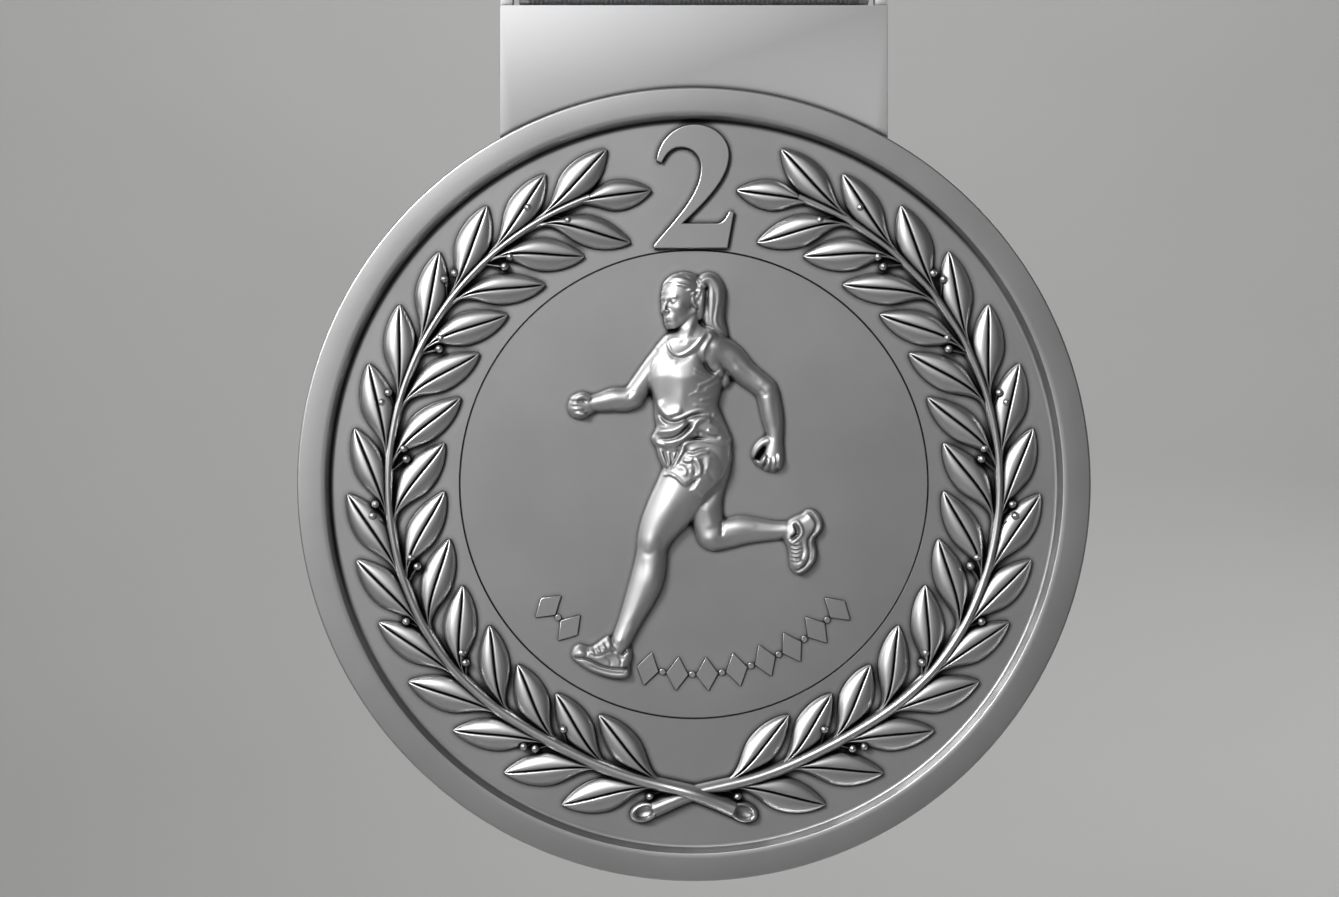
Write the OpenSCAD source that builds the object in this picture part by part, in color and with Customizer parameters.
// Sports finisher medal: a cast disc with a wide hanger tab, a set-in centre disc
// with a runner in relief, a laurel wreath and a numeral, hung from a ribbon that
// turns round a bar between the tab's two knuckles and is folded up and banded.
// The origin is where a peg bears in the top loop of the folded ribbon.
// +X is to the wearer's left, -Y is the front face and +Z is up.

/* [Medal] */
// Diameter of the medal
medal_d = 72; // [60:1:90]
// Thickness of the medal over its rim
medal_t = 5; // [4.5:0.1:6]
// Depth of the field below the rim
field_depth = 1; // [0.6:0.1:1.3]
// Width of the rim's flat top
rim_flat = 1.8; // [1:0.1:3]
// Diameter of the set-in centre disc
centre_d = 42.6; // [38:0.1:43]
// Thickness of the centre disc
centre_t = 1; // [0.6:0.1:1.2]
// Diameter of the engraving plate on the back
plate_d = 50; // [40:1:60]
// Thickness of the engraving plate
plate_t = 0.5; // [0.3:0.1:0.8]
// Thickness of the tape behind the centre disc and the plate
tape_t = 0.15; // [0.1:0.05:0.3]

/* [Hanger] */
// Width of the hanger tab
tab_w = 35.3; // [34:0.1:40]
// Thickness of the hanger tab
tab_t = 3.2; // [2.8:0.1:3.6]
// Height of the tab's top edge above the medal's centre
tab_top = 43.6; // [41:0.1:50]
// Distance from the rim's face back to the middle of the tab
tab_setback = 2.7; // [2.4:0.1:2.9]
// Bevel along the tab's edges
tab_bevel = 0.2; // [0.1:0.05:0.4]
// Diameter of the hanger bar
bar_d = 2; // [1.6:0.1:2.2]
// Gap between the tab's top edge and the ribbon round the bar
loop_gap = 0.2; // [0.15:0.05:0.5]

/* [Ribbon] */
// Width of the ribbon
ribbon_w = 32; // [30:0.5:32]
// Thickness of one layer of ribbon
ribbon_t = 0.5; // [0.4:0.05:0.6]
// Length of the doubled ribbon between the bar and the fold
drop_l = 13; // [11:0.5:20]
// Height of the folded ribbon below its top loop
pack_h = 62; // [50:1:80]
// Number of doubled layers in the folded ribbon
pack_layers = 6; // [4:2:8]
// Radius of the top loop's opening
loop_r = 6; // [5:0.5:8]
// Width of the elastic band
band_w = 6; // [4:0.5:10]

/* [Relief] */
// Height of the leaves above the field
leaf_h = 0.95; // [0.6:0.05:1.2]
// Length of a leaf
leaf_l = 7.6; // [6:0.1:8]
// Width of a leaf
leaf_w = 2.9; // [2:0.1:3.2]
// Number of leaf pairs on each branch
leaf_pairs = 14; // [8:1:14]
// Angle from one leaf pair to the next
leaf_step = 11; // [9:0.5:11]
// Height of the numeral above the field
numeral_h = 0.5; // [0.3:0.05:0.8]
// Height of the ornaments above the centre disc
ornament_h = 0.25; // [0.15:0.05:0.4]
// Radius of the arc that the ornaments stand on
ornament_r = 17.3; // [16:0.1:17.5]

/* [Hidden] */
$fn = 128;
silver = [0.66, 0.67, 0.68];
dark_silver = [0.5, 0.51, 0.53];
ribbon_grey = [0.45, 0.46, 0.48];

// Face frame: x to the right, y up the medal, z towards the viewer, and its
// origin at the medal's centre in the middle of the tab's thickness.
rim_z = tab_setback;
field_z = rim_z - field_depth;
back_z = rim_z - medal_t;
medal_r = medal_d / 2;
rim_inner_r = medal_r - rim_flat;
seat_gap = 0.06;
bar_y = tab_top + loop_gap + bar_d / 2 + 0.1 + ribbon_t;

// The ribbon round the bar
loop_in_r = bar_d / 2 + 0.1;
loop_out_r = loop_in_r + ribbon_t;
double_t = 2 * ribbon_t + 0.3;

// The folded ribbon, in y and z from the peg's bearing point
pack_t = pack_layers * (double_t + 0.05);
pack_top = -loop_r * 2.4;
pack_bottom = pack_top - pack_h;
strand_y = -pack_t / 2 + double_t / 2;
fold_z = pack_bottom - 8;
bar_z = fold_z - drop_l;
medal_z = bar_z - bar_y;

// Ears on each side of the ribbon
ear_in = ribbon_w / 2 + 0.5;
ear_w = tab_w / 2 - ear_in;
ear_r = tab_t / 2 - 0.1;

function polar(r, a) = [r * sin(a), -r * cos(a)];
function arc(c, r, a0, a1, n) =
    [for (i = [0:n]) c + r * [cos(a0 + (a1 - a0) * i / n), sin(a0 + (a1 - a0) * i / n)]];
function bezier_at(p, t) =
    pow(1 - t, 3) * p[0] + 3 * t * pow(1 - t, 2) * p[1]
    + 3 * t * t * (1 - t) * p[2] + pow(t, 3) * p[3];
function bezier(p, n = 10) = [for (i = [0:n - 1]) bezier_at(p, i / n)];

module at_face() {
    translate([0, 0, medal_z]) rotate([90, 0, 0]) children();
}

// ---- Medal body -----------------------------------------------------------

// Half section of the disc: rounded outer corners, a flat rim that rolls down to
// a steep step, and a fillet into the field.
module disc_section() {
    corner = 0.5;
    roll = 0.8;
    step_r = rim_inner_r - roll;
    polygon(concat(
        [[0, back_z]],
        arc([medal_r - corner, back_z + corner], corner, -90, 0, 6),
        arc([medal_r - corner, rim_z - corner], corner, 0, 90, 6),
        bezier([[rim_inner_r, rim_z], [rim_inner_r - 0.4, rim_z],
                [step_r + 0.1, rim_z - 0.05], [step_r, rim_z - 0.2]], 6),
        bezier([[step_r - 0.25, field_z + 0.35], [step_r - 0.3, field_z + 0.1],
                [step_r - 0.4, field_z], [step_r - 0.65, field_z]], 6),
        [[step_r - 0.65, field_z], [0, field_z]]));
}

module bevelled_rect(w, h, b) {
    polygon([[-w / 2 + b, -h / 2], [w / 2 - b, -h / 2], [w / 2, -h / 2 + b],
             [w / 2, h / 2 - b], [w / 2 - b, h / 2], [-w / 2 + b, h / 2],
             [-w / 2, h / 2 - b], [-w / 2, -h / 2 + b]]);
}

// The tab is bevelled along its sides and its top edge.
module tab_block() {
    foot = 24;
    tall = tab_top - foot;
    intersection() {
        translate([0, tab_top - tall, 0]) rotate([-90, 0, 0])
            linear_extrude(tall) bevelled_rect(tab_w, tab_t, tab_bevel);
        translate([-tab_w / 2, tab_top - tall, 0]) rotate([90, 0, 90])
            linear_extrude(tab_w) translate([tall / 2, 0])
                bevelled_rect(tall, tab_t, tab_bevel);
    }
}

module ear() {
    neck_t = 2.4;
    rotate([0, 90, 0]) cylinder(h = ear_w, r = ear_r);
    translate([0, tab_top - 1 - bar_y, -neck_t / 2]) cube([ear_w, bar_y - tab_top + 1, neck_t]);
}

module medal_body() {
    color(silver) at_face() difference() {
        union() {
            rotate_extrude() disc_section();
            tab_block();
            translate([ear_in, bar_y, 0]) ear();
            translate([-ear_in - ear_w, bar_y, 0]) ear();
        }
        translate([0, 0, field_z - centre_t - tape_t])
            cylinder(h = centre_t + tape_t + 1, r = centre_d / 2 + seat_gap);
        translate([0, 0, back_z - 1])
            cylinder(h = 1 + plate_t + tape_t + 0.05, r = plate_d / 2 + seat_gap);
        translate([-tab_w / 2 - 1, bar_y, 0]) rotate([0, 90, 0])
            cylinder(h = tab_w + 2, d = bar_d);
    }
}

module centre_disc() {
    edge = 0.08;
    color(silver) at_face() translate([0, 0, field_z - centre_t]) {
        cylinder(h = centre_t - edge, r = centre_d / 2);
        translate([0, 0, centre_t - edge])
            cylinder(h = edge, r1 = centre_d / 2, r2 = centre_d / 2 - edge);
    }
}

module centre_disc_tape() {
    color("white") at_face() translate([0, 0, field_z - centre_t - tape_t])
        cylinder(h = tape_t, r = centre_d / 2 - 1);
}

module back_plate() {
    color(dark_silver) at_face() translate([0, 0, back_z + 0.05])
        cylinder(h = plate_t, r = plate_d / 2);
}

module back_plate_tape() {
    color("white") at_face() translate([0, 0, back_z + 0.05 + plate_t])
        cylinder(h = tape_t, r = plate_d / 2 - 1);
}

module hanger_bar() {
    chamfer = 0.2;
    straight = tab_w - 2 * chamfer;
    color(dark_silver) at_face() translate([-tab_w / 2, bar_y, 0]) rotate([0, 90, 0]) {
        cylinder(h = chamfer, d1 = bar_d - 2 * chamfer, d2 = bar_d);
        translate([0, 0, chamfer]) cylinder(h = straight, d = bar_d);
        translate([0, 0, chamfer + straight])
            cylinder(h = chamfer, d1 = bar_d, d2 = bar_d - 2 * chamfer);
    }
}

// ---- Numeral and ornaments -------------------------------------------------

module numeral_outline() {
    polygon(concat(
        bezier([[-3.4, 29.4], [-3.2, 31.3], [-1.7, 32.7], [0.1, 32.7]]),
        bezier([[0.1, 32.7], [1.9, 32.7], [3.2, 31.4], [3.2, 30]]),
        bezier([[3.2, 30], [3.2, 27.9], [1.4, 26], [-1.05, 23.7]]),
        [[-1.05, 23.7]],
        bezier([[2, 23.7], [2.6, 23.7], [2.9, 24.1], [3.2, 24.8]], 6),
        [[3.2, 24.8], [3.65, 24.75], [3.05, 21.45], [-3.65, 21.45]],
        bezier([[-3.65, 21.7], [-1.9, 23.9], [0.65, 26.2], [0.65, 28.8]]),
        bezier([[0.65, 28.8], [0.65, 29.9], [-0.2, 30.65], [-1.2, 30.65]]),
        bezier([[-1.2, 30.65], [-2, 30.65], [-2.5, 30.1], [-2.95, 29.2]], 8),
        [[-2.95, 29.2]]));
}

module numeral() {
    color(silver) at_face() translate([0, 0, field_z])
        linear_extrude(numeral_h) numeral_outline();
}

// Lozenges with a bead between neighbours, leaving room for the runner's shoe.
module ornament_row() {
    step = 9;
    lozenges = [-50, -41, -14, -5, 4, 13, 22, 31, 40, 49];
    beads = [-45.5, -9.5, -0.5, 8.5, 17.5, 26.5, 35.5, 44.5];
    color(silver) at_face() translate([0, 0, field_z]) {
        for (a = lozenges)
            rotate([0, 0, a]) translate([0, -ornament_r, 0])
                linear_extrude(ornament_h)
                    polygon([[-1, 0], [0, -1.55], [1, 0], [0, 1.55]]);
        for (a = beads)
            rotate([0, 0, a]) translate([0, -ornament_r, 0])
                cylinder(h = ornament_h, d = 0.55, $fn = 24);
    }
}

// ---- Laurel branches -------------------------------------------------------

stub_angle = -8.6;
stem_end = 160;
function stem_r(a) = 27.75 - exp(-pow((a - 28) / 20, 2)) + 3.2 * exp(-pow((a + 14) / 10, 2));
function stem_w(a) = 0.42 + 0.75 * pow((stem_end - max(a, 0)) / stem_end, 1.5)
    + 0.5 * exp(-pow((a - stub_angle) / 5, 2));

// A domed bar between two points of the stem.
module stem_piece(a, b) {
    hull() for (t = [a, b])
        translate(concat(polar(stem_r(t), t), 0))
            cylinder(h = 0.55 + 0.15 * stem_w(t), r1 = stem_w(t) / 2, r2 = stem_w(t) / 4, $fn = 8);
}

module stem() {
    stations = concat([for (i = [0:4]) stub_angle + i * 4], [for (i = [1:20]) stub_angle + 16 + i * 7.6]);
    for (i = [0:len(stations) - 2])
        stem_piece(stations[i], stations[i + 1]);
}

function leaf_half(t) = max(leaf_w / 2 * sin(180 * pow(t, 0.9)), t < 0.5 ? 0.15 : 0);
function leaf_edge(t, side) = [t * leaf_l, side * leaf_half(t)];

// A leaf from its foot at the origin to its tip along +x, ridged in the middle.
module leaf() {
    n = 7;
    hull() {
        linear_extrude(0.15) polygon(concat(
            [for (i = [0:n]) leaf_edge(i / n, 1)],
            [for (i = [1:n]) leaf_edge(1 - i / n, -1)]));
        linear_extrude(leaf_h) polygon(concat(
            [for (i = [2:n - 1]) [leaf_edge(i / n, 1)[0], leaf_edge(i / n, 1)[1] * 0.45]],
            [for (i = [1:n - 2]) [leaf_edge(1 - i / n, -1)[0], leaf_edge(1 - i / n, -1)[1] * 0.45]]));
    }
}

module leaf_between(base, tip) {
    run = tip - base;
    translate(concat(base, 0)) rotate([0, 0, atan2(run[1], run[0])])
        scale([norm(run) / leaf_l, 1, 1]) leaf();
}

// One branch up the right-hand side, with its stub left of the crossing.
module branch() {
    stem();
    for (i = [0:leaf_pairs - 1]) {
        tip = 22.4 + i * leaf_step;
        leaf_between(polar(stem_r(tip - 13.2) - 0.1, tip - 13.6), polar(31.5, tip));
        leaf_between(polar(stem_r(tip - 14.5) + 0.1, tip - 14.9), polar(22.9, tip));
    }
    leaf_between(polar(27.6, 157), polar(27, 171.8));
    for (a = [52, 73.5, 95, 118, 139]) {
        for (r = [-1.1, 1.2])
            translate(concat(polar(stem_r(a) + r, a), 0))
                cylinder(h = 0.55, r1 = 0.36, r2 = 0.2, $fn = 8);
    }
}

module laurel_left() {
    color(silver) at_face() translate([0, 0, field_z]) mirror([1, 0, 0]) branch();
}

// The left branch's stem lies over this one, so it is cut away round it.
module laurel_right() {
    color(silver) at_face() translate([0, 0, field_z]) difference() {
        branch();
        translate([0, 0, -0.1]) scale([1, 1, 1.5]) mirror([1, 0, 0]) {
            stem_piece(stub_angle - 0.6, -4);
            stem_piece(-4, 0);
            stem_piece(0, 4);
            stem_piece(4, 9);
        }
    }
}

// ---- Runner ----------------------------------------------------------------

// A half ellipsoid standing on the centre disc.
module mound(x, y, rx, ry, h) {
    translate([x, y, 0]) scale([rx, ry, h]) sphere(r = 1, $fn = 14);
}

// A limb that tapers from one round end to the other.
module limb(p, pw, ph, q, qw, qh) {
    hull() {
        mound(p[0], p[1], pw / 2, pw / 2, ph);
        mound(q[0], q[1], qw / 2, qw / 2, qh);
    }
}

module runner_head() {
    mound(-1.2, 16.8, 1.9, 2.5, 1.7);
    limb([0.4, 19], 1.4, 1, [2.3, 17.2], 1.6, 0.9);
    limb([2.3, 17.2], 1.6, 0.9, [2.9, 13.6], 0.9, 0.5);
    limb([-0.4, 15], 1.7, 1.1, [-0.2, 12.4], 2.1, 1.3);
}

module runner_torso() {
    hull() {
        mound(-2.3, 11.3, 1.3, 1.4, 1.3);
        mound(1.7, 11.5, 1.4, 1.4, 1.2);
        mound(-2, 9.2, 1.9, 1.5, 1.8);
        mound(-0.6, 6.3, 2.6, 1.6, 1.5);
    }
    hull() {
        mound(-0.6, 6.3, 2.6, 1.6, 1.5);
        mound(-0.2, 2.8, 2.9, 1.6, 1.7);
        mound(0.9, 1.2, 2.3, 1.5, 1.7);
    }
}

module runner_arms() {
    limb([-2.9, 11.2], 2, 1, [-5.6, 7.8], 1.7, 1);
    limb([-5.6, 7.8], 1.7, 1, [-9.2, 7.2], 1.1, 0.8);
    mound(-10.1, 7.1, 1.1, 1.15, 0.9);
    limb([2.2, 11.4], 2.2, 1, [6.4, 8.6], 2, 1.1);
    limb([6.4, 8.6], 2, 1.1, [7.1, 4.2], 1.3, 0.9);
    limb([7, 3.6], 1.5, 0.8, [6.6, 2.3], 2.3, 0.9);
}

module runner_legs() {
    limb([-0.9, 0.5], 3.9, 1.9, [-3.2, -5.3], 2.7, 1.6);
    limb([-3.2, -5.3], 2.7, 1.6, [-4.2, -8.4], 2.6, 1.4);
    limb([-4.2, -8.4], 2.6, 1.4, [-6.6, -13.8], 1.7, 1.1);
    limb([1.4, 0], 3.2, 1.3, [1.5, -4.6], 2.5, 1.2);
    limb([1.6, -4.8], 2.4, 1.2, [4.6, -3.9], 2.2, 1);
    limb([4.6, -3.9], 2.2, 1, [9, -4], 1.6, 0.8);
}

module runner_shoes() {
    limb([-6.9, -15.2], 2.2, 1.2, [-10, -15.5], 1.7, 1);
    limb([-6.9, -16.6], 1.6, 1.1, [-9.8, -15.9], 1.4, 0.9);
    limb([9.7, -3.4], 2, 0.9, [9.9, -5.6], 1.8, 0.8);
    limb([9.9, -5.6], 1.8, 0.8, [9.8, -7], 1.9, 0.7);
}

module runner() {
    color(silver) at_face() translate([0, 0, field_z]) intersection() {
        union() {
            runner_head();
            runner_torso();
            runner_arms();
            runner_legs();
            runner_shoes();
        }
        translate([-20, -20, 0]) cube([40, 42, 4]);
    }
}

// ---- Ribbon ----------------------------------------------------------------

// Extrudes a section drawn in y and z across the ribbon's width.
module across(w) {
    translate([-w / 2, 0, 0]) rotate([90, 0, 90]) linear_extrude(w) children();
}

// The doubled ribbon below the fold, opening out round the hanger bar.
module ribbon_drop() {
    neck = 4.5;
    half = double_t / 2;
    color(ribbon_grey) difference() {
        union() {
            across(ribbon_w) translate([0, fold_z]) circle(r = half, $fn = 32);
            across(ribbon_w) polygon([[-half, fold_z], [half, fold_z], [half, bar_z + neck],
                [loop_out_r, bar_z], [-loop_out_r, bar_z], [-half, bar_z + neck]]);
            across(ribbon_w) translate([0, bar_z]) circle(r = loop_out_r);
        }
        across(ribbon_w + 2) translate([0, bar_z]) circle(r = loop_in_r);
    }
}

// Two rows of stitches that close the loop above the bar, on both faces.
module ribbon_seam() {
    stitch_l = 1.8;
    pitch = 2.6;
    thread = 0.25;
    count = 11;
    color("white") for (face = [-1, 1], row = [0, 1], i = [0:count - 1])
        translate([(i - (count - 1) / 2) * pitch - stitch_l / 2,
                   face * (double_t + thread) / 2 - thread / 2,
                   bar_z + 6 + row * 2.5 - thread / 2])
            cube([stitch_l, thread, thread]);
}

// Section of the folded ribbon: a round-topped loop that narrows to the flat layers,
// and the strand that leaves them for the medal.
module ribbon_pack() {
    wall = double_t + 0.1;
    end_gap = double_t / 2 + 0.3;
    color(ribbon_grey) difference() {
        union() {
            across(ribbon_w) hull() {
                translate([0, -loop_r]) circle(r = loop_r + wall, $fn = 48);
                translate([0, pack_top - 3]) square([pack_t, 1], center = true);
            }
            across(ribbon_w) translate([-pack_t / 2, pack_bottom + 2])
                square([pack_t, pack_h - 5.4]);
            across(ribbon_w) hull() for (y = [-1, 1])
                translate([y * (pack_t / 2 - 2), pack_bottom + 2]) circle(r = 2, $fn = 24);
            across(ribbon_w) polygon([
                [-double_t / 2, fold_z + end_gap], [double_t / 2, fold_z + end_gap],
                [strand_y + 1.6, pack_bottom + 1], [strand_y - 0.3, pack_bottom + 1]]);
        }
        across(ribbon_w + 2) hull() {
            translate([0, -loop_r]) circle(r = loop_r, $fn = 48);
            translate([0, pack_top + 1.5]) circle(r = 1.5, $fn = 24);
        }
    }
}

module pack_band() {
    gap = 0.05;
    band_t = 0.8;
    band_z = (pack_top + pack_bottom) / 2;
    color("dimgray") translate([0, 0, band_z - band_w / 2]) difference() {
        translate([-ribbon_w / 2 - gap - band_t, -pack_t / 2 - gap - band_t, 0])
            cube([ribbon_w + 2 * (gap + band_t), pack_t + 2 * (gap + band_t), band_w]);
        translate([-ribbon_w / 2 - gap, -pack_t / 2 - gap, -1])
            cube([ribbon_w + 2 * gap, pack_t + 2 * gap, band_w + 2]);
    }
}

medal_body();
centre_disc();
centre_disc_tape();
numeral();
laurel_left();
laurel_right();
runner();
ornament_row();
back_plate();
back_plate_tape();
hanger_bar();
ribbon_drop();
ribbon_seam();
ribbon_pack();
pack_band();
